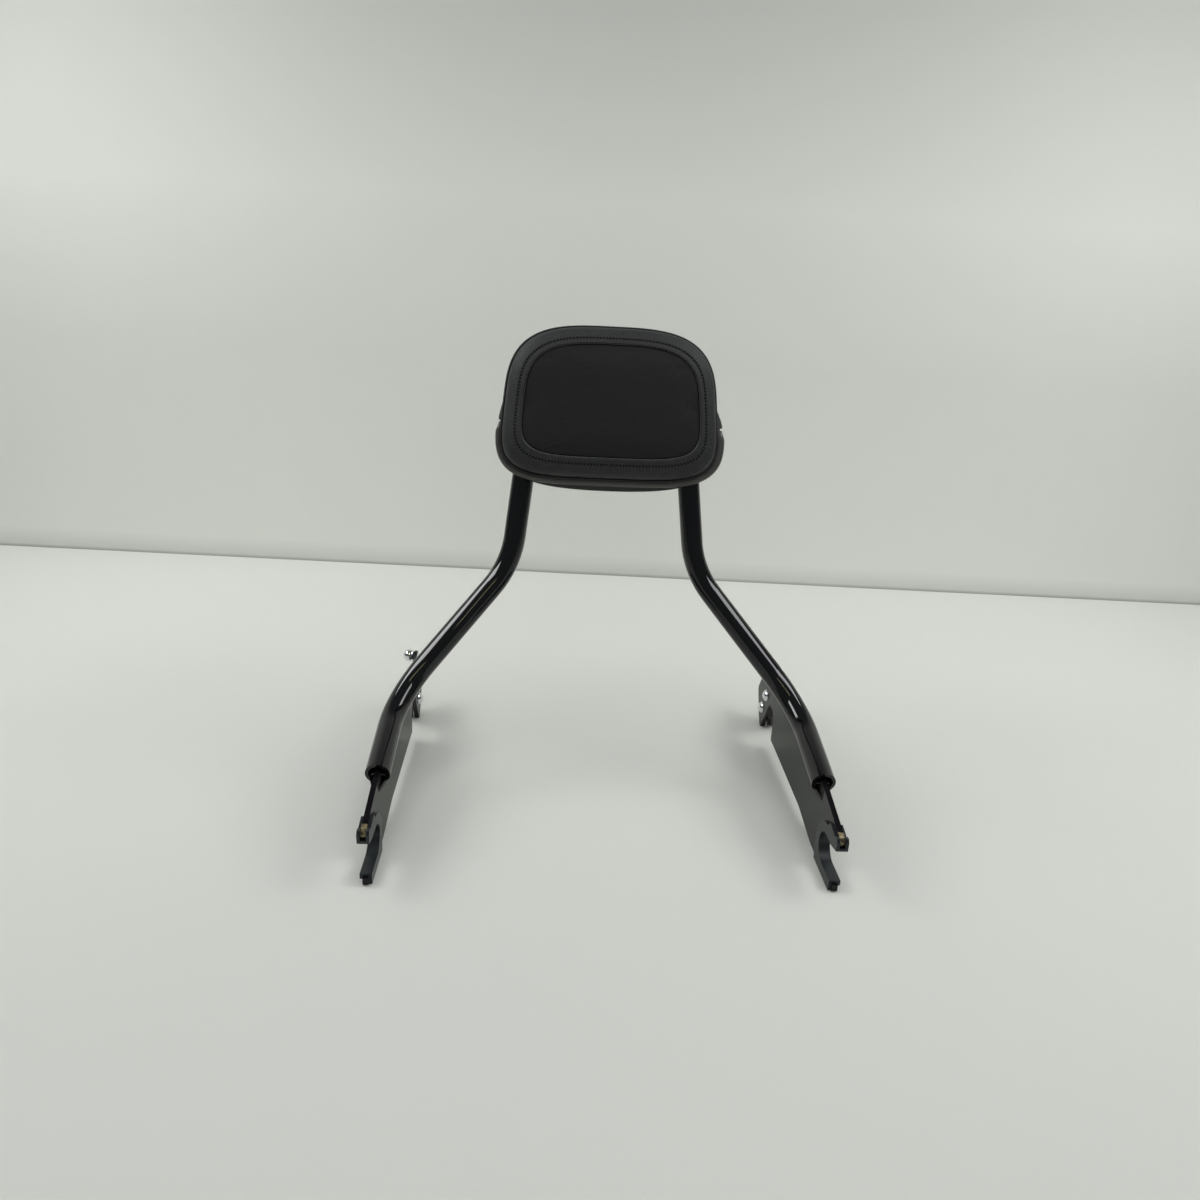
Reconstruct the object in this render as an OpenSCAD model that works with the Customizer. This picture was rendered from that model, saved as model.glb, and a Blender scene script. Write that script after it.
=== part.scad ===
// Quick-detach passenger backrest (sissy bar) for a motorbike.
// X is across the bike, -Y is its front, Z is up. All sizes are in mm.
// Inner layouts are drawn from the hook tips (y = 0, z = 0) and moved at the end.

/* [Tube] */
// Outside diameter of the bent tube, three quarters of an inch
tube_d = 19.05; // [15:0.05:26]
// Wall of the bent tube
tube_wall = 2.4; // [1.2:0.05:3]
// Open end of the tube, rearward of the hook tips
end_y = 57.6; // [54:0.1:64]
// How far the tongue at the plate runs on past the open end
tongue_l = 7.4; // [3:0.1:9]
// Slope of the lower stretch, rising to the rear
low_slope = 11.3; // [5:0.1:18]
// Lower corner of the tube's centre line, rearward of the hook tips
bend2_y = 148.8; // [130:0.1:170]
// Lower corner of the tube's centre line, above the table
bend2_z = 76.5; // [70:0.1:90]
// Upper corner of the tube's centre line, out from the middle
bend1_x = 80.9; // [70:0.1:95]
// Upper corner, rearward of the hook tips
bend1_y = 212.1; // [195:0.1:230]
// Upper corner, above the table
bend1_z = 177.6; // [160:0.1:200]
// Centre line radius of the upper bends
bend1_r = 80; // [50:1:100]
// Centre line radius of the lower bends
bend2_r = 70; // [50:1:75]
// Rearward lean of the legs and pad
lean = 13.4; // [5:0.1:25]
// Inward lean of each leg
splay = 6.4; // [2:0.1:10]
// Height of the bow's corners along the leg, from the upper bends
bow_v = 178; // [150:1:185]
// Centre line radius of the bow's two corners
bow_r = 45; // [35:1:50]

/* [Side plates] */
// Middle of each side plate, out from the middle of the part
plate_x = 172.5; // [140:0.5:200]
// Thickness of the side plates
plate_t = 4.2; // [3:0.1:6]
// Height of the plate's top edge line at the hook tips
top_z0 = 46.6; // [44:0.1:50]
// Slope of the plate's top edge, rising to the rear
top_slope = 14.1; // [10:0.1:16]
// Where the top edge stops rising
crest_y = 118; // [112:1:125]
// Rear corner of the plate, rearward of the rear seat
rear_run = 56.2; // [52:0.1:60]
// Height of the rear corner
rear_z = 31; // [28:1:36]
// Height of the straight lower edge
low_z = 9; // [6:0.5:12]

/* [Hook and notch] */
// Radius of the front seat in the liner
seat_r = 13.1; // [12:0.1:13.4]
// Front seat centre, rearward of the hook tips
seat_y = 23; // [20:0.5:26]
// Front seat centre, above the table
seat_z = 22; // [20:0.5:24]
// Web of the liner between seat and plate
web_t = 2.1; // [1.6:0.1:2.6]
// Overall width of the liner
liner_w = 8.9; // [7.5:0.1:10]
// Width of the liner's inner flange round the seat
flange_w = 8.4; // [6:0.1:9]
// Radius of the rear notch's seat
notch_r = 12.7; // [12:0.1:13.4]
// Rear seat centre, rearward of the hook tips
notch_y = 223.8; // [220:0.5:228]
// Rear seat centre, above the table
notch_z = 25; // [23:0.5:27]

/* [Latch] */
// Pivot pin, rearward of the rear seat
pivot_run = 22.7; // [20:0.1:26]
// Pivot pin, above the rear seat
pivot_rise = 13.5; // [11:0.1:16]
// Block screw, rearward of the rear seat
lug_run = 33.7; // [30:0.1:37]
// Block screw, below the rear seat
lug_drop = 5.2; // [3:0.1:8]
// Width of the lever's hook
hook_w = 7; // [5:0.1:9]
// Width of the lever's handle
arm_w = 8; // [6:0.1:10]
// Diameter of the pivot pins
pin_d = 6; // [5:0.5:8]
// Diameter of the block screws
screw_d = 5; // [4:0.5:6]
// Diameter of the chrome dome heads
dome_d = 11.6; // [9:0.1:13]
// Height of the chrome dome heads
dome_h = 3.8; // [3:0.1:5]
// Thickness of the latch lever
lever_t = 3; // [2:0.1:4]
// Thickness of the friction washer
wash_t = 0.8; // [0.5:0.1:1.2]
// Outer wall of the latch block
cheek_t = 5; // [4:0.1:7]
// Diameter of the round knob
knob_d = 12; // [9:0.1:14]
// Length of the lever's handle from pivot to knob
handle_l = 43.6; // [38:0.1:48]
// Angle of the open lever's handle above level
handle_a = 18; // [10:1:26]
// Swing of the lever from open to closed
swing = 30; // [20:1:32]

/* [Pad] */
// Half width of the pad at mid height
pad_a = 90.3; // [85:0.1:96]
// Half height of the pad
pad_b = 63.7; // [60:0.1:68]
// Middle of the pad along the legs, from the upper bends
pad_v = 139; // [130:0.5:145]
// Taper of the pad towards its top, mm a side for each mm of height
pad_taper = 0.092; // [0:0.002:0.15]
// Thickness of the padding in front of its board
foam_t = 20; // [15:0.5:30]
// Thickness of the vinyl and fabric skins
skin_t = 1.4; // [1:0.1:2]
// Diameter of the welt round the pad
welt_d = 3.4; // [2.4:0.1:5]
// Thickness of the pad's base board
board_t = 6; // [4:0.5:9]
// Wall of the formed back cover
back_t = 2.4; // [1.8:0.1:3]
// Lower edge of the cross strap, along the legs from the upper bends
strap_low = 100; // [90:1:110]
// Upper edge of the cross strap, along the legs from the upper bends
strap_high = 138; // [130:1:150]
// Pad screws, below the middle of the pad
screw_drop = 20; // [15:0.5:30]
// Half the height between the two rows of pad screws
screw_rise = 12; // [8:0.5:16]
// Thickness of the welded cross strap
strap_t = 3.2; // [2.5:0.1:5]
// Spacing of the pad screws across the bike
screw_gap = 70; // [50:1:90]
// Diameter of the pad screws
pad_screw_d = 6; // [5:0.5:8]

/* [Fits] */
// Gap each side between welded plate and tube slot
slot_clear = 0.1; // [0.05:0.05:0.3]
// Gap between the liner and the plate it is pressed on
liner_clear = 0.05; // [0.02:0.01:0.2]
// Radial gap of the pins and screws in their holes
pin_clear = 0.05; // [0.02:0.01:0.1]
// Sideways gap at the lever
side_clear = 0.1; // [0.05:0.01:0.2]
// Gap between the lever and the post it closes on
post_clear = 0.5; // [0.3:0.1:1]

/* [Hidden] */
$fn = 64;

tube_r = tube_d / 2;
bore_r = tube_r - tube_wall;
front_y = -1.2;
lead_in = 3.8;
lap = 0.3;
step = 0.04;
tilt = tan(low_slope);
top_t = tan(top_slope);
leg_t = tan(splay);
plate_out = plate_x + plate_t / 2;
plate_in = plate_x - plate_t / 2;
// the latch stack, outward from the plate
wash_x = plate_out + side_clear / 2;
lever_x = wash_x + wash_t + side_clear / 2;
cheek_x = lever_x + lever_t + side_clear;
block_x = cheek_x + cheek_t;
pivot = [notch_y + pivot_run, notch_z + pivot_rise];
lug = [notch_y + lug_run, notch_z - lug_drop];
lug_r = 4.6;
knob_c = [pivot[0] + handle_l * cos(handle_a), pivot[1] + handle_l * sin(handle_a)];
rear_y = notch_y + rear_run;
mid_y = (front_y + knob_c[0] + knob_d / 2) / 2;
black = [0.05, 0.05, 0.06];
chrome = [0.8, 0.8, 0.82];

function unit(v) = v / norm(v);
function mid(a, b, t) = a + (b - a) * t;
function low_centre(y) = bend2_z + (y - bend2_y) * tilt;

// one side of the tube's centre line, from its open end to the bow
end_p = [plate_x, 40, low_centre(40)];
b2_p = [plate_x, bend2_y, bend2_z];
b1_p = [bend1_x, bend1_y, bend1_z];
bow_p = [bend1_x - bow_v * leg_t, bend1_y + bow_v * sin(lean), bend1_z + bow_v * cos(lean)];
far_p = [-bow_p[0], bow_p[1], bow_p[2]];

function turn(a, b, c) = 180 - acos(unit(a - b) * unit(c - b));
function reach(a, b, c, r) = r * tan(turn(a, b, c) / 2);
function touch(a, b, c, r) = b + unit(a - b) * reach(a, b, c, r);
function hub(a, b, c, r) = b + unit(unit(a - b) + unit(c - b)) * r / cos(turn(a, b, c) / 2);

// points of a polygon with its corners rounded, each corner given as [y, z, r]
function arc_of(a, b, c, r) =
  let (ta = touch(a, b, c, r), tb = touch(c, b, a, r), o = hub(a, b, c, r))
  let (a0 = atan2(ta[1] - o[1], ta[0] - o[0]), a1 = atan2(tb[1] - o[1], tb[0] - o[0]))
  let (d0 = a1 - a0, d = d0 > 180 ? d0 - 360 : d0 < -180 ? d0 + 360 : d0)
  let (n = max(2, ceil(abs(d) / 9)))
  [for (i = [0:n]) o + r * [cos(a0 + d * i / n), sin(a0 + d * i / n)]];
function xy(p) = [p[0], p[1]];
function rounded(p) = [for (i = [0:len(p) - 1])
  let (n = len(p), a = p[(i + n - 1) % n], b = p[i], c = p[(i + 1) % n])
  each (b[2] > 0 ? arc_of(xy(a), xy(b), xy(c), b[2]) : [xy(b)])];

module at_frame() {
  translate([0, -mid_y, 0]) children();
}

// drawn on the +X side; the left one is its mirror image
module side(s) {
  at_frame() mirror([s < 0 ? 1 : 0, 0, 0]) children();
}

// a drawing in y and z, from x0 outward by t
module sheet(x0, t) {
  translate([x0, 0, 0]) rotate([90, 0, 90]) linear_extrude(height = t) children();
}

// each straight runs a little way into its bends, so that the pieces join cleanly
module rod(a, b, r) {
  d = b - a;
  h = norm(d);
  translate(a) rotate([0, acos(d[2] / h), atan2(d[1], d[0])]) translate([0, 0, -lap])
    cylinder(h = h + 2 * lap, r = r);
}

module rod_along_x(x0, p, t, r) {
  translate([x0, p[0], p[1]]) rotate([0, 90, 0]) cylinder(h = t, r = r);
}

module elbow(a, b, c, r, sec) {
  o = hub(a, b, c, r);
  p = unit(touch(a, b, c, r) - o);
  w = unit(cross(p, touch(c, b, a, r) - o));
  q = cross(w, p);
  multmatrix([[p[0], q[0], w[0], o[0]], [p[1], q[1], w[1], o[1]], [p[2], q[2], w[2], o[2]]])
    rotate_extrude(angle = turn(a, b, c)) translate([r, 0]) circle(r = sec - step);
}

module half_tube(sec) {
  rod(end_p, touch(end_p, b2_p, b1_p, bend2_r), sec);
  elbow(end_p, b2_p, b1_p, bend2_r, sec);
  rod(touch(b1_p, b2_p, end_p, bend2_r), touch(b2_p, b1_p, bow_p, bend1_r), sec);
  elbow(b2_p, b1_p, bow_p, bend1_r, sec);
  rod(touch(bow_p, b1_p, b2_p, bend1_r), touch(b1_p, bow_p, far_p, bow_r), sec);
  elbow(b1_p, bow_p, far_p, bow_r, sec);
}

module whole_tube(sec) {
  half_tube(sec);
  mirror([1, 0, 0]) half_tube(sec);
  rod(touch(far_p, bow_p, b1_p, bow_r), touch(bow_p, far_p, [-b1_p[0], b1_p[1], b1_p[2]], bow_r), sec);
}

// open end, square to the tube, and below it the tongue that is welded to the plate
end_z = low_centre(end_y);
tongue_z = end_z - 5.4;
module tube_end_cut() {
  sheet(plate_x - 20, 40) polygon([[20, tongue_z], [end_y + 5.4 * tilt, tongue_z],
    [end_y - 30 * tilt, end_z + 30], [20, end_z + 30]]);
  translate([plate_x, end_y, 20]) linear_extrude(height = tongue_z + 0.1 - 20)
    polygon([[-14, -30], [14, -30], [14, 1.7], [6.5, 1.2], [2.6, -tongue_l], [-2.6, -tongue_l],
      [-6.5, 1.2], [-14, 1.7]]);
}

module tube_slot() {
  sheet(plate_x - plate_t / 2 - slot_clear, plate_t + 2 * slot_clear)
    polygon([[20, 20], [175, 20], [175, top_edge(175)], [crest_y, top_edge(crest_y) + 0.2],
      [20, top_edge(20) + 0.2]]);
}

module upright_tube() {
  color(black) at_frame() difference() {
    whole_tube(tube_r);
    whole_tube(bore_r);
    tube_end_cut();
    mirror([1, 0, 0]) tube_end_cut();
    tube_slot();
    mirror([1, 0, 0]) tube_slot();
  }
}

// top edge of the side plate: rises to the crest, then falls to the rear shoulder
crest_z = top_z0 + crest_y * top_t;
shoulder = [rear_y - 27, notch_z + 28];
function top_edge(y) = y <= crest_y ? top_z0 + y * top_t :
  crest_z - 1 + (shoulder[1] - crest_z + 1) * (y - crest_y) / (shoulder[0] - crest_y);

module plate_blank() {
  polygon(rounded([
    [0, 0, 2.5],
    [1, seat_z, 0],
    [1, top_edge(1), 5.5],
    [crest_y, crest_z, 10],
    [shoulder[0], shoulder[1], 16],
    [rear_y - 9, notch_z + 20, 6],
    [rear_y, rear_z, 6],
    [rear_y - 15, low_z - 1, 8],
    [rear_y - 22, 0, 3],
    [notch_y + 24, 0, 0],
    [notch_y, 0, 0],
    [notch_y, low_z, 0],
    [notch_y - 32, low_z, 30],
    [102, low_z - 1.5, 30],
    [60, 0, 40]]));
}

// mouth of the notch: upright front wall, rear wall sloping back to the bottom
module notch_cut(r) {
  translate([notch_y, notch_z]) circle(r = r);
  polygon([[notch_y - r, notch_z], [notch_y - r, 12], [notch_y - r - 3, -2], [notch_y + 31.6, -2],
    [notch_y + r * cos(32.5), notch_z + r * sin(32.5)], [notch_y, notch_z]]);
}

// front slot: half-round seat, open to the front with a little lead-in above
module slot_cut(r) {
  translate([seat_y, seat_z]) circle(r = r);
  polygon([[seat_y, seat_z - r], [seat_y, seat_z + r], [10, seat_z + r], [-6, seat_z + r + lead_in],
    [-6, seat_z - r]]);
}

module nose_round() {
  difference() {
    translate([0, seat_z + seat_r + web_t]) square([5, 5]);
    translate([6.5, seat_z + seat_r + web_t + 5.7]) circle(r = 5.4);
  }
}

module plate_shape() {
  difference() {
    plate_blank();
    slot_cut(seat_r + web_t);
    notch_cut(notch_r);
    nose_round();
    translate(pivot) circle(r = pin_d / 2 + pin_clear);
    translate(lug) circle(r = screw_d / 2 + pin_clear);
  }
}

module side_plate(s) {
  color(black) side(s) sheet(plate_in, plate_t) plate_shape();
}

// outline of the liner's flanges, seen from the side
module flange_shape(w, low) {
  intersection() {
    union() {
      translate([seat_y, seat_z]) circle(r = seat_r + w);
      polygon([[front_y, seat_z], [front_y, 60], [8, 60], [seat_y, seat_z + seat_r + w],
        [seat_y, seat_z]]);
      polygon([[2.6, low], [2.6, seat_z], [seat_y, seat_z], [seat_y + seat_r + w, seat_z],
        [seat_y + seat_r + w - 2.5, low], [seat_y + 8, low]]);
    }
    polygon([[front_y, 0.4], [front_y, top_edge(3) - 3], [0.5, top_edge(3)], [3.5, top_edge(3.5) - 0.3],
      [6.5, top_edge(6.5) - 2.4], [60, top_edge(60) - 2.4], [60, 0.4]]);
  }
}

module hook_liner(s) {
  color([0.08, 0.08, 0.08]) side(s) difference() {
    union() {
      sheet(plate_x - liner_w / 2, liner_w / 2) difference() {
        flange_shape(flange_w, 0.4);
        slot_cut(seat_r);
      }
      sheet(plate_x, liner_w / 2) difference() {
        flange_shape(flange_w - 3, 4.7);
        slot_cut(seat_r);
      }
    }
    sheet(plate_in - liner_clear, plate_t + 2 * liner_clear) difference() {
      translate([-10, -10]) square([90, 90]);
      slot_cut(seat_r + web_t - liner_clear);
    }
  }
}

module block_shape() {
  difference() {
    polygon(rounded([
      [notch_y + notch_r * cos(32.5), notch_z + notch_r * sin(32.5), 0],
      [notch_y + 31.2, -0.2, 0],
      [rear_y - 22, 0.4, 3],
      [rear_y - 16, low_z - 1, 8],
      [rear_y - 5, rear_z - 2, 6],
      [rear_y - 12, notch_z + 19, 6],
      [notch_y + 16, notch_z + 21, 6],
      [notch_y + 9, notch_z + 12, 2]]));
    notch_cut(notch_r);
    translate([notch_y - 23.8, -3]) square([rear_run + 33.8, 3.3]);
  }
}

module latch_block(s) {
  color(black) side(s) difference() {
    union() {
      sheet(cheek_x, cheek_t) block_shape();
      rod_along_x(plate_out, lug, cheek_x - plate_out + 1, lug_r);
    }
    rod_along_x(cheek_x - 1, pivot, cheek_t + 2, pin_d / 2 + pin_clear);
    rod_along_x(plate_out - 1, lug, cheek_x - plate_out + cheek_t - 0.5, screw_d / 2 + pin_clear);
  }
}

module bar(a, b, w) {
  translate(a) rotate(atan2(b[1] - a[1], b[0] - a[0])) translate([0, -w / 2])
    square([norm(b - a), w]);
}

// drawn closed on the post, then swung open about the pivot
module hook_shape() {
  translate(pivot) rotate(swing) translate(-pivot) difference() {
    union() {
      intersection() {
        translate([notch_y, notch_z]) circle(r = notch_r + hook_w);
        polygon([[notch_y, notch_z], [notch_y + 12, notch_z - 32], [notch_y + 40, notch_z - 32],
          [notch_y + 30, notch_z - 4]]);
      }
      bar(pivot, [notch_y + 15.2, notch_z - 6], hook_w);
    }
    translate([notch_y, notch_z]) circle(r = notch_r + post_clear);
  }
}

module lever_shape() {
  difference() {
    union() {
      translate(pivot) circle(r = hook_w);
      hook_shape();
      bar(pivot, knob_c, arm_w);
      translate(knob_c) circle(r = 5);
    }
    translate(lug) circle(r = lug_r + 0.4);
    translate(pivot) circle(r = pin_d / 2 + pin_clear);
    translate(knob_c) circle(r = 2);
  }
}

module latch_lever(s) {
  color([0.12, 0.12, 0.13]) side(s) sheet(lever_x, lever_t) lever_shape();
}

// the knob's shank fills the lever's hole and is riveted there
module ball_knob(s) {
  color(chrome) side(s) union() {
    translate([lever_x + lever_t + knob_d / 2 - 0.8, knob_c[0], knob_c[1]]) intersection() {
      sphere(r = knob_d / 2);
      translate([-knob_d / 2 + 0.9, -10, -10]) cube([knob_d, 20, 20]);
    }
    rod_along_x(lever_x, knob_c, lever_t + 2, 2);
  }
}

// dome head on the inner face of the plate
module dome(p) {
  big = (dome_d * dome_d / 4 + dome_h * dome_h) / (2 * dome_h);
  intersection() {
    translate([plate_in - dome_h + big, p[0], p[1]]) sphere(r = big);
    rod_along_x(plate_in - dome_h - 1, p, dome_h + 1, dome_d / 2);
  }
}

module pivot_pin(s) {
  color(chrome) side(s) union() {
    dome(pivot);
    rod_along_x(plate_in, pivot, block_x + 5 - plate_in, pin_d / 2);
  }
}

module block_screw(s) {
  color(chrome) side(s) union() {
    dome(lug);
    rod_along_x(plate_in, lug, block_x - 2 - plate_in, screw_d / 2);
  }
}

module friction_washer(s) {
  color([0.6, 0.6, 0.62]) side(s) sheet(wash_x, wash_t) difference() {
    translate(pivot) circle(r = 5.8);
    translate(pivot) circle(r = pin_d / 2 + pin_clear);
  }
}

module pivot_nut(s) {
  color(chrome) side(s) difference() {
    union() {
      rod_along_x(block_x, pivot, 1.2, 6);
      translate([block_x + 1, pivot[0], pivot[1]]) rotate([0, 90, 0]) cylinder(h = 3.6, r = 5.2, $fn = 6);
    }
    rod_along_x(block_x - 1, pivot, 7, pin_d / 2 + pin_clear);
  }
}

// pad frame: u across, v up the legs, w forward of the plane of the legs
module on_pad() {
  at_frame() translate([0, bend1_y, bend1_z]) rotate([-lean, 0, 0]) children();
}

function pow_s(x, e) = x < 0 ? -pow(-x, e) : pow(x, e);
// pad outline drawn in by g, tapering to the top, squarer corners at the bottom
function ring_pt(a, g, n1, n2) =
  let (e = 2 / (sin(a) >= 0 ? n1 : n2))
  let (dv = (pad_b - g) * pow_s(sin(a), e))
  [(pad_a - g - pad_taper * dv) * pow_s(cos(a), e), pad_v + dv];
function ring(g, w, n1 = 3.35, n2 = 4.6, n = 56) =
  [for (i = [0:n - 1]) let (p = ring_pt(360 * (i + 0.5) / n, g, n1, n2)) [p[0], -w, p[1]]];

// skin through a stack of rings; open stacks are closed by flat ends
module loft(rings, loop = false) {
  n = len(rings[0]);
  m = len(rings);
  pts = [for (r = rings) each r];
  last = loop ? m - 1 : m - 2;
  quads = [for (k = [0:last]) for (i = [0:n - 1])
    let (k2 = (k + 1) % m, j = (i + 1) % n)
    each [[k * n + i, k2 * n + i, k2 * n + j], [k * n + i, k2 * n + j, k * n + j]]];
  caps = loop ? [] : [[for (i = [0:n - 1]) i], [for (i = [n - 1:-1:0]) (m - 1) * n + i]];
  polyhedron(points = pts, faces = concat(quads, caps), convexity = 6);
}

strap_w = tube_r;
back_w = strap_w + strap_t;
board_w = back_w + back_t + 0.1;
foam_w = board_w + board_t + 0.1;
seam_w = foam_w - 1;
crest_w = foam_w + foam_t;
panel_g = 17;
// the welt lies on a ledge round the back cover, outside its rim
welt_low = seam_w - welt_d + 0.2;
ledge_g = welt_d + 0.5;
rim_w = foam_w - 1.4;
rim_g = 6.5;
board_g = rim_g + 0.5;
screw_end = board_w + board_t - 2;
wash2_t = 1.2;

module pad_board() {
  color([0.2, 0.2, 0.2]) on_pad() difference() {
    loft([ring(board_g, board_w), ring(board_g, board_w + board_t)]);
    for (x = [-1, 1], v = [-screw_rise, screw_rise])
      translate([x * screw_gap / 2, -board_w + 1, pad_v - screw_drop + v]) rotate([90, 0, 0])
        cylinder(h = screw_end + 0.5 - board_w + 1, r = pad_screw_d / 2 + pin_clear);
  }
}

module pad_foam() {
  color([0.5, 0.5, 0.48]) on_pad() loft([
    ring(4.5, foam_w), ring(4, foam_w + 7), ring(6.5, foam_w + 13.5),
    ring(11, crest_w - 2.8), ring(14, crest_w - 2), ring(panel_g, crest_w - 3.4),
    ring(30, crest_w - 1.6, 3, 3.4), ring(46, crest_w - 0.6, 2.6, 2.8)]);
}

module pad_border_cover() {
  color(black) on_pad() loft([
    ring(1.7, foam_w - 0.6), ring(1.2, foam_w + 7.5), ring(4.6, foam_w + 15),
    ring(10.3, crest_w - 0.9), ring(14, crest_w), ring(panel_g - 0.3, crest_w - 1.6),
    ring(panel_g - 0.1, crest_w - 3.2), ring(14, crest_w - 1.9), ring(10.9, crest_w - 2.7),
    ring(6.3, foam_w + 13.7), ring(3.7, foam_w + 7), ring(3.9, foam_w - 0.6)], true);
}

module pad_centre_panel() {
  color([0.1, 0.1, 0.1]) on_pad() loft([
    ring(46, crest_w - 0.5, 2.6, 2.8), ring(30, crest_w - 1.5, 3, 3.4),
    ring(panel_g + 0.1, crest_w - 3.3), ring(panel_g + 0.1, crest_w - 3.3 + skin_t),
    ring(30, crest_w - 1.5 + skin_t, 3, 3.4), ring(46, crest_w - 0.5 + skin_t, 2.6, 2.8)]);
}

module pad_welt() {
  r = welt_d / 2;
  color(black) on_pad() loft([for (i = [0:7])
    ring(r + 0.2 - r * cos(i * 45), seam_w - r + 0.2 - r * sin(i * 45))], true);
}

// back cover: flat back, side walls, and a lower half that swells past the seam
function swell(v, top) = v > top ? 0 : min(1, (top - v) / 4);
function back_ring(g, w) = [for (p = ring(g, w, 3.35, 4.6, 56))
  let (d = unit([p[0], p[2] - pad_v]), s = (4.4 - 4.6 * d[1]) * swell(p[2], pad_v - 15))
  [p[0] + d[0] * s, p[1], p[2] + d[1] * s]];

module pad_back_cover() {
  color(black) on_pad() difference() {
    loft([back_ring(8, back_w), back_ring(2.2, back_w + 2.2), back_ring(0.6, welt_low - 0.1),
      ring(ledge_g, welt_low - 0.25), ring(ledge_g + 0.2, rim_w), ring(rim_g, rim_w),
      ring(rim_g, back_w + back_t)]);
    for (x = [-1, 1], v = [-screw_rise, screw_rise])
      translate([x * screw_gap / 2, -back_w + 1, pad_v - screw_drop + v]) rotate([90, 0, 0])
        cylinder(h = back_t + 2, r = pad_screw_d / 2 + pin_clear);
  }
}

function leg_u(v) = bend1_x - v * leg_t;

module pad_strap() {
  color(black) on_pad() difference() {
    translate([0, -strap_w, 0]) rotate([90, 0, 0]) linear_extrude(height = strap_t)
      polygon([[-leg_u(strap_low) - 4, strap_low], [leg_u(strap_low) + 4, strap_low],
        [leg_u(strap_high) + 4, strap_high], [-leg_u(strap_high) - 4, strap_high]]);
    for (x = [-1, 1], v = [-screw_rise, screw_rise])
      translate([x * screw_gap / 2, 1 - strap_w, pad_v - screw_drop + v]) rotate([90, 0, 0])
        cylinder(h = strap_t + 2, r = pad_screw_d / 2 + pin_clear);
  }
}

module pad_washers() {
  color(chrome) on_pad() for (x = [-1, 1], v = [-screw_rise, screw_rise])
    translate([x * screw_gap / 2, -strap_w + wash2_t, pad_v - screw_drop + v]) rotate([90, 0, 0])
      difference() {
        cylinder(h = wash2_t, r = 7);
        translate([0, 0, -1]) cylinder(h = wash2_t + 2, r = pad_screw_d / 2 + pin_clear);
      }
}

module pad_screws() {
  color(chrome) on_pad() for (x = [-1, 1], v = [-screw_rise, screw_rise])
    translate([x * screw_gap / 2, -strap_w + wash2_t, pad_v - screw_drop + v]) union() {
      rotate([90, 0, 0]) cylinder(h = screw_end - strap_w + wash2_t, r = pad_screw_d / 2);
      rotate([-90, 0, 0]) difference() {
        cylinder(h = 4, r = 5.2);
        translate([0, 0, 1.5]) cylinder(h = 4, r = 2.9, $fn = 6);
      }
    }
}

upright_tube();
side_plate(-1);  // side_plate_left
side_plate(1);  // side_plate_right
hook_liner(-1);  // hook_liner_left
hook_liner(1);  // hook_liner_right
latch_block(-1);  // latch_block_left
latch_block(1);  // latch_block_right
latch_lever(-1);  // latch_lever_left
latch_lever(1);  // latch_lever_right
ball_knob(-1);  // ball_knob_left
ball_knob(1);  // ball_knob_right
pivot_pin(-1);  // pivot_pin_left
pivot_pin(1);  // pivot_pin_right
block_screw(-1);  // block_screw_left
block_screw(1);  // block_screw_right
friction_washer(-1);  // friction_washer_left
friction_washer(1);  // friction_washer_right
pivot_nut(-1);  // pivot_nut_left
pivot_nut(1);  // pivot_nut_right
pad_strap();
pad_screws();
pad_washers();
pad_board();
pad_foam();
pad_border_cover();
pad_centre_panel();
pad_welt();
pad_back_cover();
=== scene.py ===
import bpy, bmesh, math
import numpy as np
from mathutils import Vector, Matrix, noise as noise3


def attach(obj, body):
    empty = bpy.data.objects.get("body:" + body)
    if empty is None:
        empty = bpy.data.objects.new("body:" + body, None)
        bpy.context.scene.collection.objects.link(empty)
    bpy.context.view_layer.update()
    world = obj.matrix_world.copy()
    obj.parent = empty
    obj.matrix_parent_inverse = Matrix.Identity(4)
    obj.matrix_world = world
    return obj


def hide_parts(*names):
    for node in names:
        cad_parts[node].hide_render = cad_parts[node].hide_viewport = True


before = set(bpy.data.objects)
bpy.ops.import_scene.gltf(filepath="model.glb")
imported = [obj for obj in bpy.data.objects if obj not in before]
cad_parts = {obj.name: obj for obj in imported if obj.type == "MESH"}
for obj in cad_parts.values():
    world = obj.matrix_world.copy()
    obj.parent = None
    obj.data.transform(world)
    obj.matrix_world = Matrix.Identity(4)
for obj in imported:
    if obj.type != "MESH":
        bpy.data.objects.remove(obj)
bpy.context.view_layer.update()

# Sizes in mm, as in part.scad: the part's middle along the bike, the legs' upper bend and their lean, the
# pad's half width, half height and taper, and how far forward of the legs its crest and its back lie
MID_Y = 146.383
BEND_Y, BEND_Z = 212.1, 177.6
LEAN = math.radians(13.4)
PAD_A, PAD_B, TAPER = 90.3, 63.7, 0.092
CREST_W, BACK_W = 41.325, 12.725

# Sizes in mm fitted to the photograph: the cover's middle up the legs, and the powers of its outline
PAD_V = 139.6
TOP_POWER, LOW_POWER = 3.35, 4.6
# The centre panel sits a little high in the cover: how much, the inset where that begins, and its run
PANEL_LIFT, LIFT_FROM, LIFT_RUN = 0.8, 10, 8
# Stitch row: inset, height, number of stitches
STITCH_G, STITCH_W, STITCHES = 12.7, 38.6, 168
# Place of the cover's side notches up the legs
NOTCH_V = 122.6

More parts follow.
